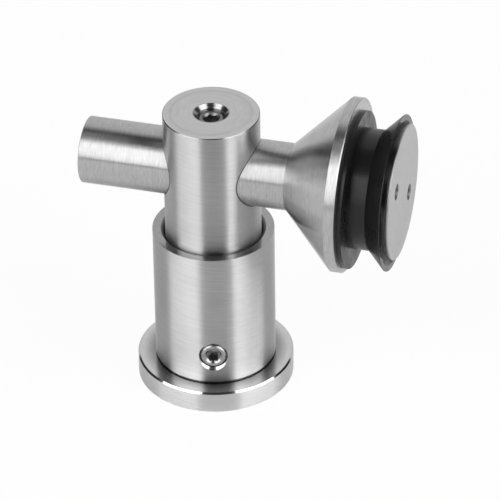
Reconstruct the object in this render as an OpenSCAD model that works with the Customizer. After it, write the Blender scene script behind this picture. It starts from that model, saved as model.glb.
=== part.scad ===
// Glass angle bracket: a post in a footed sleeve carries a sliding arm with a countersunk glass clamp.
// Millimetres. The origin is the middle of the foot's underside, +Z runs up the post, +X along the arm.

/* [Foot] */
// thickness of the round foot
flange_t = 6.6; // [4:0.2:12]
// width of the ledge that the foot leaves round the sleeve
flange_ledge = 5.25; // [3:0.25:12]
// bevel on the foot's top edge
flange_bevel = 0.5; // [0.2:0.1:1.5]
// core of the tapped fixing hole in the foot
fixing_core_d = 8.5; // [6.8:0.1:10.2]
// height of the boss that centres the sleeve on the foot
boss_h = 3; // [2:0.5:5]

/* [Sleeve] */
// height of the sleeve above the foot
sleeve_h = 43.4; // [36:0.2:70]
// wall of the sleeve round the post
sleeve_wall = 3.4; // [2.5:0.1:6]
// bevel inside the sleeve's mouth
mouth_bevel = 1; // [0.3:0.1:1.5]
// width of the groove where the sleeve meets the foot
foot_groove_w = 0.5; // [0.2:0.1:1]
// depth of the groove where the sleeve meets the foot
foot_groove_depth = 1.2; // [0.4:0.1:2]
// bearing of the sleeve's screw, from the front towards the arm's clamp
sleeve_screw_bearing = 13.4; // [-90:0.1:90]

/* [Post] */
// diameter of the post
post_d = 28; // [26:0.5:36]
// height of the post above the arm's axis
post_above_arm = 18.2; // [15:0.1:25]
// height of the arm's axis above the sleeve
arm_above_sleeve = 21; // [14:0.5:60]
// bevel round the post's top edge
post_bevel = 0.2; // [0.1:0.1:1]
// width of the shoulder that the post stands on
shoulder_w = 2.5; // [2:0.25:4]
// depth of the groove that holds the post down
groove_depth = 1; // [0.6:0.1:2]
// height of the pivot's end below its groove
pivot_end = 1.25; // [1:0.25:4]
// height of the pivot's neck above its groove
pivot_neck = 2.65; // [1:0.05:6]
// gap all round the post in the sleeve
post_gap = 0.35; // [0.2:0.05:0.6]

/* [Grub screws] */
// thread diameter of the two grub screws
screw_d = 8; // [6:1:8]
// length of the two grub screws
screw_len = 6.75; // [5:0.25:7]
// size of the hexagon socket across its flats
socket_af = 4; // [3:0.5:4]
// depth of the hexagon socket
socket_depth = 3; // [2:0.5:3.5]
// bevel on both ends of a grub screw
screw_bevel = 0.6; // [0.3:0.1:1]
// bevel round the mouth of the hexagon socket
socket_bevel = 0.3; // [0.1:0.1:0.5]
// diameter of the 45 degree countersink over the sleeve's screw
sleeve_sink_d = 9.6; // [8.6:0.1:11]
// diameter of the 45 degree countersink over the post's screw
post_sink_d = 10.2; // [8.6:0.1:12]

/* [Arm] */
// diameter of the arm
arm_d = 19.5; // [16:0.5:21]
// length of the arm behind the post's axis
arm_rear = 37.5; // [20:0.5:80]
// length of the arm from the post's axis to its cone
arm_front = 23.5; // [18:0.5:80]
// diameter of the rim at the wide end of the cone
rim_d = 50.5; // [46:0.5:60]
// width of the rim
rim_w = 3; // [2:0.25:6]
// bevel on the rim's front edge
rim_bevel = 0.25; // [0.1:0.05:1]
// bevel on the arm's rear edge
arm_bevel = 0.2; // [0.1:0.1:1.5]

/* [Clamp] */
// thickness of the flat gasket
gasket_t = 1.5; // [1:0.25:3]
// step from the bush's lip out to the gasket's edge
gasket_step = 0.2; // [0:0.05:1]
// clearance of the gasket's hole round the stud
gasket_clearance = 1.4; // [0.4:0.1:2]
// diameter of the bush's collar
collar_d = 34.9; // [32:0.1:37]
// length of the bush's collar
collar_len = 5.6; // [4.5:0.1:9]
// rise of the bush's 45 degree flare
flare_rise = 5.15; // [4:0.05:7]
// width of the band round the lip
lip_band = 0.25; // [0.2:0.05:1]
// wall of the bush at its lip
lip_wall = 1.7; // [1.5:0.1:2.2]
// thickness of the bush's floor round the stud
bush_floor_t = 2.1; // [1.5:0.1:3]
// clearance of the bush's hole round the stud
bush_clearance = 0.7; // [0.2:0.05:1]
// gap between the front disc's edge and the lip
disc_gap = 1.25; // [0.3:0.05:1.5]
// gap between the front disc's back and the bush's floor
disc_floor_gap = 2.6; // [2:0.1:3.5]
// distance that the front disc stands out of the lip
disc_proud = 1.7; // [1.3:0.05:2]
// width of the straight edge round the front disc
disc_edge = 0.4; // [0.3:0.1:1.3]
// bevel round the front disc's face
disc_bevel = 0.15; // [0.05:0.05:0.25]
// diameter of the stud's thread
stud_d = 10; // [8:1:12]
// length of the stud that is screwed into the arm
stud_in_arm = 13; // [10:0.5:18]
// length of the stud that is screwed into the front disc
stud_in_disc = 5; // [3.5:0.25:5.5]
// diameter of the two spanner holes
pin_d = 4.8; // [3:0.1:5]
// distance between the two spanner holes
pin_spacing = 19; // [18:0.5:24]
// depth of the two spanner holes
pin_depth = 3; // [1.5:0.25:3.5]
// slope of the line through the two spanner holes
pin_slope = -33; // [-90:1:90]

/* [Fits] */
// radial clearance of a turning or sliding fit
running_fit = 0.05; // [0.02:0.01:0.1]
// radial clearance of a fit that holds
tight_fit = 0.02; // [0.01:0.01:0.03]
// gap between flat faces that bear on each other
face_gap = 0.05; // [0.02:0.01:0.1]
// gap between a loose ring and the stud that it hangs on
hang_gap = 0.1; // [0.05:0.05:0.3]
// room past the end of a screw in its hole
end_gap = 1; // [0.5:0.1:2]

/* [Hidden] */
$fn = 96;
STEEL = [0.78, 0.78, 0.77];
DARK_STEEL = [0.4, 0.4, 0.42];
BLACK = [0.08, 0.08, 0.08];
GREY = [0.2, 0.2, 0.2];
// overlap of a cutter past the face that it cuts
cut = 0.5;

post_bore_d = post_d + 2 * post_gap;
sleeve_d = post_bore_d + 2 * sleeve_wall;
flange_d = sleeve_d + 2 * flange_ledge;
pivot_d = post_d - 2 * shoulder_w;
pivot_bore_d = pivot_d + 2 * running_fit;
screw_bore_d = screw_d + 2 * running_fit;
arm_bore_d = arm_d + 2 * running_fit;
stud_bore_d = stud_d + 2 * running_fit;

// heights up the post
groove_w = screw_d + 2 * running_fit;
groove_d = pivot_d - 2 * groove_depth;
post_foot_z = flange_t + boss_h + end_gap;
groove_z = post_foot_z + pivot_end;
sleeve_screw_z = groove_z + groove_w / 2;
sleeve_step_z = groove_z + groove_w + pivot_neck;
shoulder_z = sleeve_step_z + face_gap;
sleeve_top_z = flange_t + sleeve_h;
arm_z = sleeve_top_z + arm_above_sleeve;
post_top_z = arm_z + post_above_arm;

// seats of the two grub screws: the tip's distance from the post's axis, and the tip's height
sleeve_tip_r = groove_d / 2 + face_gap;
post_tip_z = arm_z + arm_d / 2 + face_gap;

// places along the arm
cone_len = (rim_d - arm_d) / 2;
rim_x = arm_front + cone_len;
arm_face_x = rim_x + rim_w;
gasket_face_x = arm_face_x + gasket_t;
bush_back_x = gasket_face_x + face_gap;
flare_x = bush_back_x + collar_len;
lip_x = flare_x + flare_rise;
lip_face_x = lip_x + lip_band;
disc_face_x = lip_face_x + disc_proud;
bush_floor_x = bush_back_x + bush_floor_t;
disc_back_x = bush_floor_x + disc_floor_gap;
stud_x = arm_face_x - stud_in_arm;
stud_len = disc_back_x + stud_in_disc - stud_x;

// the clamp's diameters, and how far its loose rings hang below the arm's axis
lip_d = collar_d + 2 * flare_rise;
gasket_d = lip_d + 2 * gasket_step;
gasket_hole_d = stud_d + 2 * gasket_clearance;
gasket_drop = gasket_clearance - hang_gap;
lip_hole_d = lip_d - 2 * lip_wall;
disc_d = lip_hole_d - 2 * disc_gap;
bush_hole_d = stud_d + 2 * bush_clearance;
bush_drop = bush_clearance - hang_gap;
disc_cone_x = disc_face_x - disc_edge;
disc_back_d = disc_d - 2 * (disc_cone_x - disc_back_x);
bush_floor_d = lip_hole_d - 2 * (lip_face_x - bush_floor_x);

// a bar turned to an outline of [radius, height] points, standing on +Z
module turned(outline) {
    rotate_extrude() polygon(outline);
}

// what stands on +Z laid along the arm, dropped below its axis
module along_arm(drop = 0) {
    translate([0, 0, arm_z - drop]) rotate([0, 90, 0]) children();
}

// what stands on +Z turned to point out of the sleeve along its screw
module along_sleeve_screw() {
    translate([0, 0, sleeve_screw_z]) rotate([0, 0, sleeve_screw_bearing]) rotate([90, 0, 0]) children();
}

// a straight hole along +Z from one height to another
module hole(d, from, to) {
    translate([0, 0, from]) cylinder(d = d, h = to - from);
}

// a 45 degree countersink that is d wide at a height, with its point below
module countersink(d, at) {
    turned([[0, at - d / 2], [d / 2 + cut, at + cut], [0, at + cut]]);
}

// a grub screw with its tip on the XY plane and its hexagon socket on top
module grub_screw() {
    difference() {
        turned([
            [0, 0],
            [screw_d / 2 - screw_bevel, 0],
            [screw_d / 2, screw_bevel],
            [screw_d / 2, screw_len - screw_bevel],
            [screw_d / 2 - screw_bevel, screw_len],
            [0, screw_len]
        ]);
        translate([0, 0, screw_len - socket_depth])
            cylinder(d = socket_af / cos(30), h = socket_depth + cut, $fn = 6);
        countersink(socket_af / cos(30) + 2 * socket_bevel, screw_len);
    }
}

module base_flange() {
    boss_d = pivot_bore_d - 2 * tight_fit;
    color(STEEL) difference() {
        turned([
            [0, 0],
            [flange_d / 2, 0],
            [flange_d / 2, flange_t - flange_bevel],
            [flange_d / 2 - flange_bevel, flange_t],
            [boss_d / 2, flange_t],
            [boss_d / 2, flange_t + boss_h],
            [0, flange_t + boss_h]
        ]);
        hole(fixing_core_d, -cut, flange_t + boss_h + cut);
    }
}

module sleeve() {
    color(STEEL) difference() {
        turned([
            [pivot_bore_d / 2, flange_t],
            [sleeve_d / 2 - foot_groove_depth, flange_t],
            [sleeve_d / 2 - foot_groove_depth, flange_t + foot_groove_w],
            [sleeve_d / 2, flange_t + foot_groove_w],
            [sleeve_d / 2, sleeve_top_z],
            [post_bore_d / 2 + mouth_bevel, sleeve_top_z],
            [post_bore_d / 2, sleeve_top_z - mouth_bevel],
            [post_bore_d / 2, sleeve_step_z],
            [pivot_bore_d / 2, sleeve_step_z]
        ]);
        along_sleeve_screw() {
            hole(screw_bore_d, 0, sleeve_d / 2 + cut);
            countersink(sleeve_sink_d, sleeve_d / 2);
        }
    }
}

module sleeve_grub_screw() {
    color(DARK_STEEL) along_sleeve_screw() translate([0, 0, sleeve_tip_r]) grub_screw();
}

module post() {
    color(STEEL) difference() {
        turned([
            [0, post_foot_z],
            [pivot_d / 2, post_foot_z],
            [pivot_d / 2, groove_z],
            [groove_d / 2, groove_z],
            [groove_d / 2, groove_z + groove_w],
            [pivot_d / 2, groove_z + groove_w],
            [pivot_d / 2, shoulder_z],
            [post_d / 2, shoulder_z],
            [post_d / 2, post_top_z - post_bevel],
            [post_d / 2 - post_bevel, post_top_z],
            [0, post_top_z]
        ]);
        along_arm() hole(arm_bore_d, -post_d, post_d);
        hole(screw_bore_d, arm_z, post_top_z + cut);
        countersink(post_sink_d, post_top_z);
    }
}

module post_grub_screw() {
    color(DARK_STEEL) translate([0, 0, post_tip_z]) grub_screw();
}

module arm() {
    color(STEEL) along_arm() difference() {
        turned([
            [0, -arm_rear],
            [arm_d / 2 - arm_bevel, -arm_rear],
            [arm_d / 2, arm_bevel - arm_rear],
            [arm_d / 2, arm_front],
            [rim_d / 2, rim_x],
            [rim_d / 2, arm_face_x - rim_bevel],
            [rim_d / 2 - rim_bevel, arm_face_x],
            [0, arm_face_x]
        ]);
        hole(stud_bore_d, stud_x - end_gap, arm_face_x + cut);
    }
}

module rear_gasket() {
    color(GREY) along_arm(gasket_drop) difference() {
        hole(gasket_d, arm_face_x, gasket_face_x);
        hole(gasket_hole_d, arm_face_x - cut, gasket_face_x + cut);
    }
}

module glass_bush() {
    color(BLACK) along_arm(bush_drop) turned([
        [bush_hole_d / 2, bush_back_x],
        [collar_d / 2, bush_back_x],
        [collar_d / 2, flare_x],
        [lip_d / 2, lip_x],
        [lip_d / 2, lip_face_x],
        [lip_hole_d / 2, lip_face_x],
        [bush_floor_d / 2, bush_floor_x],
        [bush_hole_d / 2, bush_floor_x]
    ]);
}

module clamp_stud() {
    color(DARK_STEEL) along_arm() hole(stud_d, stud_x, stud_x + stud_len);
}

module front_disc() {
    color(STEEL) along_arm() difference() {
        turned([
            [0, disc_back_x],
            [disc_back_d / 2, disc_back_x],
            [disc_d / 2, disc_cone_x],
            [disc_d / 2, disc_face_x - disc_bevel],
            [disc_d / 2 - disc_bevel, disc_face_x],
            [0, disc_face_x]
        ]);
        hole(stud_d + 2 * tight_fit, disc_back_x - cut, disc_back_x + stud_in_disc + end_gap / 2);
        for (side = [-1, 1])
            rotate([0, 0, pin_slope]) translate([0, side * pin_spacing / 2, 0])
                hole(pin_d, disc_face_x - pin_depth, disc_face_x + cut);
    }
}

base_flange();
sleeve();
sleeve_grub_screw();
post();
post_grub_screw();
arm();
rear_gasket();
glass_bush();
clamp_stud();
front_disc();
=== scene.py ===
"""Looks of the glass angle bracket: brushed stainless steel, a black bush and gasket, and a pale floor."""

import math

import bpy
from mathutils import Matrix, Vector


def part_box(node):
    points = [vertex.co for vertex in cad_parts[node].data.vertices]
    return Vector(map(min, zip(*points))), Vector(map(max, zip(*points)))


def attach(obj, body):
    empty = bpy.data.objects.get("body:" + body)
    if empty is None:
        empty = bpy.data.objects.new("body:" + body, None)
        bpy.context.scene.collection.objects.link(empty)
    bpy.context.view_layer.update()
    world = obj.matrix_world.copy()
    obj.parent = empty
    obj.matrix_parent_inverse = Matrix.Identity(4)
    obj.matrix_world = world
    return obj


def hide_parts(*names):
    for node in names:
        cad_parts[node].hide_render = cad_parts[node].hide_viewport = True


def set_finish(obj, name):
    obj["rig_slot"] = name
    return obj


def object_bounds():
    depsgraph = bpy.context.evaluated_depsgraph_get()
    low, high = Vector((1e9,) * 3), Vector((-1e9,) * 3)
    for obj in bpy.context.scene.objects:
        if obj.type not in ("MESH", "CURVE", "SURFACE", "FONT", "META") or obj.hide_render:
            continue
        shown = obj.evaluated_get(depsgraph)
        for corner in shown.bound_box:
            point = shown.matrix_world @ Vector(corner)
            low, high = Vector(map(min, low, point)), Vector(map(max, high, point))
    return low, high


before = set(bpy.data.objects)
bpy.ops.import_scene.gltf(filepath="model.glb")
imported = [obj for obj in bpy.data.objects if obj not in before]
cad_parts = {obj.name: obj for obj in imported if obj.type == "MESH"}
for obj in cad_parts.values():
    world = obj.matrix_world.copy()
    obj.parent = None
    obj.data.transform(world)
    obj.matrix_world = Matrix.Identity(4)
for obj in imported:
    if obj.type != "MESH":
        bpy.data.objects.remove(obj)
cad_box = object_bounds()

MM = 0.001

# Camera, as measured on the photograph
IMAGE_PX = 500
PX_PER_MM = 3.4378
SENSOR_MM = 36.0
CAM_AZIMUTH = 15.39
CAM_ELEVATION = 34.62
CAM_ROLL = -0.847
CAM_DISTANCE = 1.1536
CAM_AIM = Vector((10.79, 0.45, 43.15)) * MM

# Studio walls and backdrop: radiance, bearing from the camera, how far the backdrop reaches, soft edges
STUDIO_DARK = 0.05
WORLD_SEEN = 0.98
BACKDROP_WHITE = 0.8
BACKDROP_BEARING = 176
BACKDROP_SIDE = math.cos(math.radians(49))
BACKDROP_SIDE_BLUR = 0.06
BACKDROP_TOP = math.sin(math.radians(64))
BACKDROP_TOP_BLUR = 0.04
LAMP_DISTANCE = 2.5

# Floor: size, colour, and the share of plain white that the camera and the mirroring pieces see
FLOOR_HALF = 6.0
FLOOR_GAP = 0.02 * MM
FLOOR_PALE = (0.88, 0.88, 0.88, 1)
FLOOR_WHITE = 0.93
FLOOR_MIRRORED = 0.12
WHITE = (1, 1, 1, 1)

# Colours, and the tone of flat faces as pairs of a radius in mm and a tone
STEEL = (0.54, 0.54, 0.54)
SCREW = (0.36, 0.36, 0.36)
BLACK = (0.010, 0.010, 0.010)
# Flange: painted light inside the groove under the sleeve's foot, up to 17.74 mm, then painted shade on the
# top face next to the sleeve, fading out by 21.5 mm
FLANGE_LIGHT_AND_SHADE = ((17.5, 1.1), (17.74, 1.1), (17.8, 0.42), (19.0, 0.54), (20.2, 0.75), (21.5, 0.96))
SLEEVE_TONES = ((0, 0.68),)
POST_TONES = ((0, 1.0), (11.0, 0.98), (11.7, 0.87), (12.4, 1.0))
DISC_TONES = ((0, 0.97),)
PLAIN_TONES = ((0, 1.0),)
TONE_REACH = 30.0
BRIGHT_TONE = 0.85

# Brush marks: spacing of the rings in mm, and how fast they change round the axis
FINE_MARKS, FINE_STRETCH = 0.2, 0.5
BROAD_MARKS, BROAD_STRETCH = 0.9, 0.1
RELIEF_MARKS, RELIEF_STRETCH = 0.15, 0.03
MARK_DETAIL = 2.0
NOISE_SPAN = (0.3, 0.7)
FACE_SPAN = (0.85, 0.93)

# Where a piece's tone changes, in mm from its axis or along it, and the tone there; the tones in the sleeve's
# mouth, round the arm's bore and in the disc's pin holes are painted shade
SLEEVE_MOUTH, MOUTH_SHADE_TONE = (14.4, 15.3), 0.25
POST_SINK, SINK_TONE = (5.2, 5.5), 0.62
POST_WALL, WALL_TONE = (13.75, 13.85), 0.85
POST_BEVEL, POST_BEVEL_HALF, POST_BEVEL_DULL = 13.88, 0.085, 0.4
ARM_BORE, BORE_SHADE_TONE = (9.85, 10.25), 0.15
ARM_MIDDLE, ARM_BRUSHED_HALF = 5.0, 35.0
RIM_BEVEL, RIM_BEVEL_HALF, RIM_BEVEL_DULL = 25.1, 0.12, 0.08
DISC_EDGE, DISC_EDGE_TONE = (19.4, 19.5), 0.65
PIN_HOLE_SPAN, PIN_HOLE_REACH, PIN_HOLE_SHADE = (55.2, 56.1), 14.0, 0.65

# Threads: M10 on the stud and M8 on the grub screws, whose hexagon sockets take a 4 mm key
STUD_PITCH = 1.5 * MM
SCREW_PITCH = 1.25 * MM
THREAD_DEPTH = 0.61
CREST_HALF = 1 / 16
ROOT_HALF = 1 / 8
THREAD_BEVEL = 0.6 * MM
SOCKET_SIDES = 6
SOCKET_FLATS = 4 * MM
SOCKET_DEPTH = 3 * MM
SOCKET_BEVEL = 0.3 * MM
SLEEVE_SCREW_BEARING = math.radians(13.4)
AROUND = 36
ROWS_PER_PITCH = 10


def direction(azimuth, elevation):
    """Unit vector from the object to a place in the studio; azimuth 0 is the front, 90 the clamp's side."""
    a, e = math.radians(azimuth), math.radians(elevation)
    return Vector((math.sin(a) * math.cos(e), -math.cos(a) * math.cos(e), math.sin(e)))


def facing(back, roll=0.0):
    """Rotation matrix of a camera or lamp that looks along -back, turned by roll degrees in its picture."""
    right = Vector((0, 0, 1)).cross(back).normalized()
    up = back.cross(right)
    c, s = math.cos(math.radians(roll)), math.sin(math.radians(roll))
    return Matrix((c * right + s * up, c * up - s * right, back)).transposed()


def add_camera():
    back = direction(CAM_AZIMUTH, CAM_ELEVATION)
    data = bpy.data.cameras.new("camera")
    data.sensor_width = SENSOR_MM
    data.lens = PX_PER_MM / MM * CAM_DISTANCE * SENSOR_MM / IMAGE_PX
    data.clip_start = 0.01
    data.clip_end = 100.0
    camera = bpy.data.objects.new("camera", data)
    place = Matrix.Translation(CAM_AIM + back * CAM_DISTANCE)
    camera.matrix_world = place @ facing(back, CAM_ROLL).to_4x4()
    bpy.context.scene.collection.objects.link(camera)
    bpy.context.scene.camera = camera


def add_softbox(name, bearing, width, low, high, radiance):
    """An upright rectangular lamp at a bearing from the camera; its face has that radiance, 1 being white."""
    data = bpy.data.lights.new(name, "AREA")
    data.shape = "RECTANGLE"
    data.size = width
    data.size_y = high - low
    data.energy = radiance * math.pi * width * (high - low)
    lamp = bpy.data.objects.new(name, data)
    back = direction(CAM_AZIMUTH + bearing, 0)
    place = back * LAMP_DISTANCE + Vector((0, 0, (low + high) / 2))
    lamp.matrix_world = Matrix.Translation(place) @ facing(back).to_4x4()
    lamp.visible_camera = False
    bpy.context.scene.collection.objects.link(lamp)


class Nodes:
    """A small helper that adds nodes to a tree and links them by socket."""

    def __init__(self, tree):
        self.tree = tree
        tree.nodes.clear()

    def add(self, kind, inputs=None, **settings):
        node = self.tree.nodes.new(kind)
        for key, value in settings.items():
            setattr(node, key, value)
        for key, value in (inputs or {}).items():
            if isinstance(value, bpy.types.NodeSocket):
                self.tree.links.new(value, node.inputs[key])
            else:
                node.inputs[key].default_value = value
        return node

    def math(self, operation, *values):
        return self.add("ShaderNodeMath", dict(enumerate(values)), operation=operation).outputs[0]

    def vector(self, operation, *values):
        return self.add("ShaderNodeVectorMath", dict(enumerate(values)), operation=operation).outputs[0]

    def scaled(self, vector, factor):
        return self.add("ShaderNodeVectorMath", {0: vector, 3: factor}, operation="SCALE").outputs[0]

    def dot(self, a, b):
        return self.add("ShaderNodeVectorMath", {0: a, 1: b}, operation="DOT_PRODUCT").outputs["Value"]

    def split(self, vector):
        return self.add("ShaderNodeSeparateXYZ", {"Vector": vector}).outputs

    def hypotenuse(self, a, b):
        squares = self.math("ADD", self.math("POWER", a, 2.0), self.math("POWER", b, 2.0))
        return self.math("SQRT", squares)

    def coordinates(self, kind):
        return self.add("ShaderNodeTexCoord").outputs[kind]

    def noise(self, place, scale, detail):
        inputs = {"Vector": place, "Scale": scale, "Detail": detail}
        return self.add("ShaderNodeTexNoise", inputs).outputs["Fac"]

    def bump(self, height, strength, distance):
        inputs = {"Strength": strength, "Distance": distance, "Height": height}
        return self.add("ShaderNodeBump", inputs).outputs[0]

    def ramp(self, value, low, high, to_low=0.0, to_high=1.0):
        node = self.add(
            "ShaderNodeMapRange",
            {"Value": value, "From Min": low, "From Max": high, "To Min": to_low, "To Max": to_high},
            interpolation_type="SMOOTHSTEP",
        )
        return node.outputs["Result"]

    def principled(self, inputs):
        shader = self.add("ShaderNodeBsdfPrincipled", inputs)
        self.add("ShaderNodeOutputMaterial", {"Surface": shader.outputs[0]})


def new_material(name):
    material = bpy.data.materials.new(name)
    material.use_nodes = True
    return material, Nodes(material.node_tree)


def add_world():
    """A dark studio with a white backdrop behind the object, short of the ceiling; the camera sees white."""
    world = bpy.data.worlds.new("studio")
    bpy.context.scene.world = world
    world.use_nodes = True
    n = Nodes(world.node_tree)
    where = n.coordinates("Generated")
    height = n.split(where)["Z"]
    bearing = n.vector("NORMALIZE", n.vector("MULTIPLY", where, (1, 1, 0)))
    away = n.dot(bearing, direction(CAM_AZIMUTH + BACKDROP_BEARING, 0))
    side = n.ramp(away, BACKDROP_SIDE - BACKDROP_SIDE_BLUR, BACKDROP_SIDE + BACKDROP_SIDE_BLUR)
    top = n.ramp(height, BACKDROP_TOP - BACKDROP_TOP_BLUR, BACKDROP_TOP + BACKDROP_TOP_BLUR, 1.0, 0.0)
    backdrop = n.math("MULTIPLY", side, top)
    strength = n.ramp(backdrop, 0.0, 1.0, STUDIO_DARK, BACKDROP_WHITE)
    seen = n.add("ShaderNodeLightPath").outputs["Is Camera Ray"]
    strength = n.math("MAXIMUM", strength, n.math("MULTIPLY", seen, WORLD_SEEN))
    shade = n.add("ShaderNodeBackground", {"Color": WHITE, "Strength": strength})
    n.add("ShaderNodeOutputWorld", {"Surface": shade.outputs[0]})


def add_floor():
    mesh = bpy.data.meshes.new("floor")
    corners = [(x * FLOOR_HALF, y * FLOOR_HALF, 0) for x, y in ((-1, -1), (1, -1), (1, 1), (-1, 1))]
    mesh.from_pydata(corners, [], [(0, 1, 2, 3)])
    floor = bpy.data.objects.new("floor", mesh)
    floor.location.z = cad_box[0][2] - FLOOR_GAP
    bpy.context.scene.collection.objects.link(floor)
    material, n = new_material("floor_white")
    lit = n.add("ShaderNodeBsdfDiffuse", {"Color": FLOOR_PALE}).outputs[0]
    white = n.add("ShaderNodeEmission", {"Color": WHITE, "Strength": 1.0}).outputs[0]
    ray = n.add("ShaderNodeLightPath")
    seen = n.math("MULTIPLY", ray.outputs["Is Camera Ray"], FLOOR_WHITE)
    mirrored = n.math("MAXIMUM", ray.outputs["Is Glossy Ray"], ray.outputs["Is Transmission Ray"])
    share = n.math("MAXIMUM", seen, n.math("MULTIPLY", mirrored, FLOOR_MIRRORED))
    shade = n.add("ShaderNodeMixShader", {0: share, 1: lit, 2: white})
    n.add("ShaderNodeOutputMaterial", {"Surface": shade.outputs[0]})
    mesh.materials.append(material)


def turned_coordinates(n, axis, centre):
    """The object's place as (way along the turned profile, radius, way along the axis, position), in mm."""
    offset = n.vector("SUBTRACT", n.coordinates("Object"), centre)
    position = n.scaled(offset, 1 / MM)
    order = {"X": ("X", "Y", "Z"), "Z": ("Z", "X", "Y")}[axis]
    place = n.split(position)
    along, a, b = (place[k] for k in order)
    radius = n.hypotenuse(a, b)
    return n.math("ADD", along, radius), radius, along, position


def turned_marks(n, profile, position, spacing, stretch):
    """Noise drawn out round the axis, in rings about spacing mm apart."""
    drawn = n.split(n.scaled(position, stretch))
    ring = n.math("DIVIDE", profile, spacing)
    shifted = {"X": n.math("ADD", drawn["X"], ring), "Y": drawn["Y"], "Z": drawn["Z"]}
    return n.noise(n.add("ShaderNodeCombineXYZ", shifted).outputs[0], 1.0, MARK_DETAIL)


def by_radius(n, radius, tones):
    """A tone that runs through pairs of a radius in mm and a tone."""
    ramp = n.add("ShaderNodeValToRGB", {"Fac": n.math("DIVIDE", radius, TONE_REACH)})
    stops = ramp.color_ramp.elements
    stops.remove(stops[1])
    stops[0].position = tones[0][0] / TONE_REACH
    stops[0].color = (*(tones[0][1],) * 3, 1.0)
    for place, tone in tones[1:]:
        stops.new(place / TONE_REACH).color = (*(tone,) * 3, 1.0)
    return ramp.outputs["Color"]


def face_masks(n, axis, position):
    """Masks of the slanted faces, such as bevels, and of the faces square to the axis."""
    normal = n.coordinates("Normal")
    unit, flat = {"X": ((1, 0, 0), (0, 1, 1)), "Z": ((0, 0, 1), (1, 1, 0))}[axis]
    spoke = n.vector("NORMALIZE", n.vector("MULTIPLY", position, flat))
    end = n.math("ABSOLUTE", n.dot(normal, unit))
    side = n.math("ABSOLUTE", n.dot(normal, spoke))
    slanted = n.ramp(n.math("MAXIMUM", end, side), *FACE_SPAN, 1.0, 0.0)
    return slanted, n.ramp(end, *FACE_SPAN)


def brushed_steel(
    name, axis, centre, roughness=0.38, face=0.3, tones=PLAIN_TONES, cone=None,
    polish=0.1, shine=1.0, polished=None, holes=None, grain=0.75,
):
    """Stainless steel brushed in a lathe: rings round the axis, with the gloss drawn out across them.

    face is the roughness of faces square to the axis and tones their tone by radius, which on the flange
    paints light and shade by the sleeve's foot; cone is the roughness of slanted faces. polished(n, bevel,
    along) gives the mask of the bright faces, of roughness polish;
    without it, the bevels are. holes(n, radius, along, position) gives a tone that paints shade into holes
    and round joints, and dulls edges;
    grain is the contrast of the brush marks.
    """
    material, n = new_material(name)
    profile, radius, along, position = turned_coordinates(n, axis, centre)
    fine = turned_marks(n, profile, position, FINE_MARKS, FINE_STRETCH)
    broad = turned_marks(n, profile, position, BROAD_MARKS, BROAD_STRETCH)
    cloud = n.noise(position, 0.06, 3.0)
    bevel, end = face_masks(n, axis, position)
    bright = polished(n, bevel, along) if polished else bevel
    brushed = n.math("SUBTRACT", 1.0, bright)

    square_or_round = n.ramp(end, 0.0, 1.0, roughness, face)
    plain = n.math("ADD", square_or_round, n.ramp(bevel, 0.0, 1.0, 0.0, (cone or roughness) - roughness))
    uneven = n.math("ADD", n.ramp(fine, *NOISE_SPAN, 0.93, 1.07), n.ramp(cloud, *NOISE_SPAN, -0.07, 0.07))
    satin = n.math("MULTIPLY", plain, uneven)
    rough = n.math("ADD", n.math("MULTIPLY", satin, brushed), n.math("MULTIPLY", bright, polish))

    lines = n.math(
        "ADD",
        n.ramp(fine, 0.25, 0.75, 1.0 - 0.11 * grain, 1.0 + 0.09 * grain),
        n.ramp(broad, *NOISE_SPAN, -0.03 * grain, 0.03 * grain),
    )
    lines = n.math("ADD", lines, n.ramp(cloud, *NOISE_SPAN, -0.02, 0.02))
    square = n.math("MULTIPLY", end, n.math("SUBTRACT", by_radius(n, radius, tones), 1.0))
    lines = n.math("MULTIPLY", lines, n.math("ADD", square, 1.0))
    tone = n.math("ADD", n.math("MULTIPLY", lines, brushed), n.math("MULTIPLY", bright, BRIGHT_TONE))
    if holes:
        tone = n.math("MULTIPLY", tone, holes(n, radius, along, position))

    relief = turned_marks(n, profile, position, RELIEF_MARKS, RELIEF_STRETCH)
    n.principled(
        {
            "Base Color": n.scaled(Vector(STEEL) * shine, tone),
            "Metallic": 1.0,
            "Roughness": rough,
            "Anisotropic": n.math("MULTIPLY", brushed, n.math("SUBTRACT", 1.0, end)),
            "Anisotropic Rotation": 0.25,
            "Tangent": n.add("ShaderNodeTangent", direction_type="RADIAL", axis=axis).outputs[0],
            "Normal": n.bump(n.math("MULTIPLY", relief, brushed), 0.06, 0.01 * MM),
        }
    )
    return material


def plated_steel(name, roughness, shine=1.0):
    """The dark, glossy steel of screws, with a faintly uneven gloss."""
    material, n = new_material(name)
    position = n.scaled(n.coordinates("Object"), 1 / MM)
    cloud = n.noise(position, 0.9, 4.0)
    tone = n.ramp(cloud, *NOISE_SPAN, 0.85, 1.05)
    n.principled(
        {
            "Base Color": n.scaled(Vector(SCREW) * shine, tone),
            "Metallic": 1.0,
            "Roughness": n.ramp(cloud, *NOISE_SPAN, roughness - 0.04, roughness + 0.06),
            "Normal": n.bump(cloud, 0.1, 0.02 * MM),
        }
    )
    return material


def moulded_black(name, roughness, front, gloss=0.3):
    """Black rubber or plastic with a fine grain and faint scuffs; front is its front face's roughness."""
    material, n = new_material(name)
    position = n.scaled(n.coordinates("Object"), 1 / MM)
    grain = n.noise(position, 6.0, 3.0)
    cloud = n.noise(position, 0.15, 4.0)
    rough = n.ramp(cloud, *NOISE_SPAN, roughness - 0.05, roughness + 0.07)
    facing_front = n.split(n.coordinates("Normal"))["X"]
    rough = n.math("ADD", rough, n.ramp(facing_front, 0.9, 0.97, 0.0, front - roughness))
    n.principled(
        {
            "Base Color": (*BLACK, 1.0),
            "Roughness": rough,
            "Specular IOR Level": gloss,
            "Normal": n.bump(grain, 0.1, 0.01 * MM),
        }
    )
    return material


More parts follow.
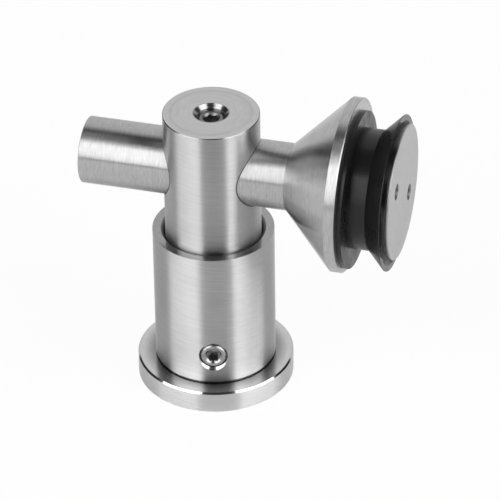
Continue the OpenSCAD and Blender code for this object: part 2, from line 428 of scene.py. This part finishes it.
def past_cone(n, bevel, along):
    """The arm's bevels at its two ends, but not its cone, which is brushed."""
    off_middle = n.math("ABSOLUTE", n.math("SUBTRACT", along, ARM_MIDDLE))
    return n.math("MULTIPLY", bevel, n.math("GREATER_THAN", off_middle, ARM_BRUSHED_HALF))


def none_bright(n, bevel, along):
    """No face: the front disc's edge is as satin as its face."""
    return n.math("MULTIPLY", bevel, 0.0)


def dulled(n, mask, share):
    """A tone of 1 that falls by a share where the mask is 1."""
    return n.math("SUBTRACT", 1.0, n.math("MULTIPLY", mask, share))


def mouth(n, radius, along, position):
    """Painted shade inside the sleeve's mouth, where the post stands."""
    return n.ramp(radius, *SLEEVE_MOUTH, MOUTH_SHADE_TONE, 1.0)


def post_holes(n, radius, along, position):
    """Duller in the post's countersink, on its wall and on its top bevel, and painted shade on the post round
    the arm's bore.
    """
    above = n.math("SUBTRACT", along, arm_axis.z / MM)
    from_arm = n.hypotenuse(n.split(position)["Y"], above)
    sink = n.ramp(radius, *POST_SINK, SINK_TONE, 1.0)
    top = n.math("MULTIPLY", sink, n.ramp(radius, *POST_WALL, 1.0, WALL_TONE))
    bevel = n.math("COMPARE", radius, POST_BEVEL, POST_BEVEL_HALF)
    top = n.math("MULTIPLY", top, dulled(n, bevel, POST_BEVEL_DULL))
    # painted shade on the post round the arm's bore, where the arm goes in
    return n.math("MULTIPLY", top, n.ramp(from_arm, *ARM_BORE, BORE_SHADE_TONE, 1.0))


def pin_holes(n, radius, along, position):
    """Painted shade inside the front disc's two spanner holes, below its face, and duller on its edge."""
    below = n.ramp(along, *PIN_HOLE_SPAN, 1.0, 0.0)
    inside = n.math("LESS_THAN", radius, PIN_HOLE_REACH)
    dark = n.math("MULTIPLY", n.math("MULTIPLY", below, inside), PIN_HOLE_SHADE)
    return n.math("SUBTRACT", n.ramp(radius, *DISC_EDGE, 1.0, DISC_EDGE_TONE), dark)


def rim_edge(n, radius, along, position):
    """Slightly duller on the bevel of the arm's rim."""
    return dulled(n, n.math("COMPARE", radius, RIM_BEVEL, RIM_BEVEL_HALF), RIM_BEVEL_DULL)


def dress(node, material, slot):
    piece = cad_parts[node]
    piece.data.materials.clear()
    piece.data.materials.append(material)
    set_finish(piece, slot)


def middle(node):
    low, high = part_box(node)
    return (low + high) / 2


def thread_ring(height, length, radius, pitch):
    """One ring of a right-hand thread with flat crests and roots, which runs out at the bevels of its rod."""
    from_end = min(height, length - height)
    deepest = THREAD_DEPTH * pitch * min(max(from_end / THREAD_BEVEL - 0.5, 0.0), 1.0)
    ring = []
    for k in range(AROUND):
        turn = k / AROUND
        off_crest = abs((height / pitch - turn + 0.5) % 1.0 - 0.5)
        flank = (off_crest - CREST_HALF) / (0.5 - ROOT_HALF - CREST_HALF)
        depth = deepest * min(max(flank, 0.0), 1.0)
        reach = min(radius - depth, radius - THREAD_BEVEL + from_end)
        ring.append((reach * math.cos(math.tau * turn), reach * math.sin(math.tau * turn), height))
    return ring


def socket_rings(length):
    """Rings of a bevelled hexagon socket in a rod's top: its round mouth, its sides' top and its floor."""
    mouth_radius = SOCKET_FLATS / math.sqrt(3) + SOCKET_BEVEL
    side = math.tau / SOCKET_SIDES
    rings = [[], [], []]
    for k in range(AROUND):
        angle = math.tau * k / AROUND
        reach = SOCKET_FLATS / 2 / math.cos(angle % side - side / 2)
        c, s = math.cos(angle), math.sin(angle)
        rings[0].append((mouth_radius * c, mouth_radius * s, length))
        rings[1].append((reach * c, reach * s, length - mouth_radius + reach))
        rings[2].append((reach * c, reach * s, length - SOCKET_DEPTH))
    return rings


def ringed_mesh(name, rings):
    """A closed smooth mesh through rings of points, with a flat cap on the first and the last ring."""
    points = [point for ring in rings for point in ring]
    top = len(points)
    points += [(0, 0, rings[-1][0][2]), (0, 0, 0)]
    last = top - AROUND
    faces = []
    for k in range(AROUND):
        following = (k + 1) % AROUND
        for a in range(0, last, AROUND):
            b = a + AROUND
            faces.append((a + k, a + following, b + following, b + k))
        faces += [(last + k, last + following, top), (following, k, top + 1)]
    mesh = bpy.data.meshes.new(name)
    mesh.from_pydata(points, [], faces)
    mesh.shade_smooth()
    return mesh


def add_threaded(node, body, length, radius, pitch, turned, socket):
    """A threaded rod in place of a CAD node with a plain shank, turned from +Z to the node's direction."""
    rows = round(length / pitch * ROWS_PER_PITCH)
    rings = [thread_ring(length * i / rows, length, radius, pitch) for i in range(rows + 1)]
    if socket:
        rings += socket_rings(length)
    mesh = ringed_mesh(node + "_threaded", rings)
    for edge in mesh.edges:
        (ring_a, a), (ring_b, b) = (divmod(v, AROUND) for v in edge.vertices)
        level = ring_a == ring_b and (ring_a == 0 or ring_a >= rows)
        corner = min(ring_a, ring_b) == rows + 2 and a == b and a % (AROUND // SOCKET_SIDES) == 0
        edge.use_edge_sharp = level or corner
    centred = Matrix.Translation((0, 0, -length / 2))
    mesh.transform(Matrix.Translation(middle(node)) @ turned @ centred)
    piece = bpy.data.objects.new(mesh.name, mesh)
    bpy.context.scene.collection.objects.link(piece)
    cad_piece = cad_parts[node]
    mesh.materials.append(cad_piece.data.materials[0])
    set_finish(piece, cad_piece["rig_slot"])
    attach(piece, body)
    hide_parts(node)


add_camera()
add_world()
add_floor()
add_softbox("softbox_left_outer", bearing=-70, width=1.43, low=0.2, high=3.6, radiance=3.1)
add_softbox("softbox_left_inner", bearing=-40, width=1.25, low=0.2, high=3.6, radiance=3.8)
add_softbox("softbox_right_inner", bearing=46.5, width=1.2, low=0.15, high=3.7, radiance=3.8)
add_softbox("softbox_right_outer", bearing=76.5, width=1.48, low=0.15, high=3.7, radiance=3.0)

arm_axis = Vector((0, 0, middle("arm").z))
upright = Vector((0, 0, 0))
# The flange's steel is painted lighter (shine 1.22) than the sleeve's and the post's, a painted reflection of
# the bright floor in front of it
flange_steel = brushed_steel(
    "flange_steel", "Z", upright, roughness=0.3, face=0.16, tones=FLANGE_LIGHT_AND_SHADE, shine=1.22, grain=0.4
)
sleeve_steel = brushed_steel(
    "sleeve_steel", "Z", upright, face=0.12, tones=SLEEVE_TONES, polish=0.2, shine=1.03, holes=mouth
)
post_steel = brushed_steel(
    "post_steel", "Z", upright, face=0.34, tones=POST_TONES, polish=0.2, shine=1.12, holes=post_holes
)
arm_steel = brushed_steel(
    "arm_steel", "X", arm_axis, roughness=0.37, cone=0.2, polish=0.3, polished=past_cone,
    holes=rim_edge, grain=1.4,
)
disc_steel = brushed_steel(
    "disc_steel", "X", arm_axis, face=0.5, tones=DISC_TONES, polished=none_bright, holes=pin_holes
)
dress("base_flange", flange_steel, "brushed_stainless")
dress("sleeve", sleeve_steel, "brushed_stainless")
dress("post", post_steel, "brushed_stainless")
dress("arm", arm_steel, "brushed_stainless")
dress("front_disc", disc_steel, "brushed_stainless")
dress("sleeve_grub_screw", plated_steel("sleeve_screw_steel", 0.26), "screw_steel")
for node in ("post_grub_screw", "clamp_stud"):
    dress(node, plated_steel(node + "_steel", 0.36, shine=0.7), "screw_steel")
dress("rear_gasket", moulded_black("gasket_rubber", roughness=0.3, front=0.3), "gasket_black")
dress("glass_bush", moulded_black("bush_plastic", roughness=0.3, front=0.12), "bush_black")

stud_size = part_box("clamp_stud")[1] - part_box("clamp_stud")[0]
screw_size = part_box("post_grub_screw")[1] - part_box("post_grub_screw")[0]
screw_length, screw_radius = screw_size.z, screw_size.x / 2
quarter = math.pi / 2
along_arm = Matrix.Rotation(quarter, 4, "Y")
up_post = Matrix.Identity(4)
from_sleeve = Matrix.Rotation(SLEEVE_SCREW_BEARING, 4, "Z") @ Matrix.Rotation(quarter, 4, "X")
add_threaded("clamp_stud", "disc", stud_size.x, stud_size.z / 2, STUD_PITCH, along_arm, False)
add_threaded("post_grub_screw", "post_screw", screw_length, screw_radius, SCREW_PITCH, up_post, True)
add_threaded("sleeve_grub_screw", "sleeve_screw", screw_length, screw_radius, SCREW_PITCH, from_sleeve, True)

scene = bpy.context.scene
scene.view_settings.view_transform = "Standard"
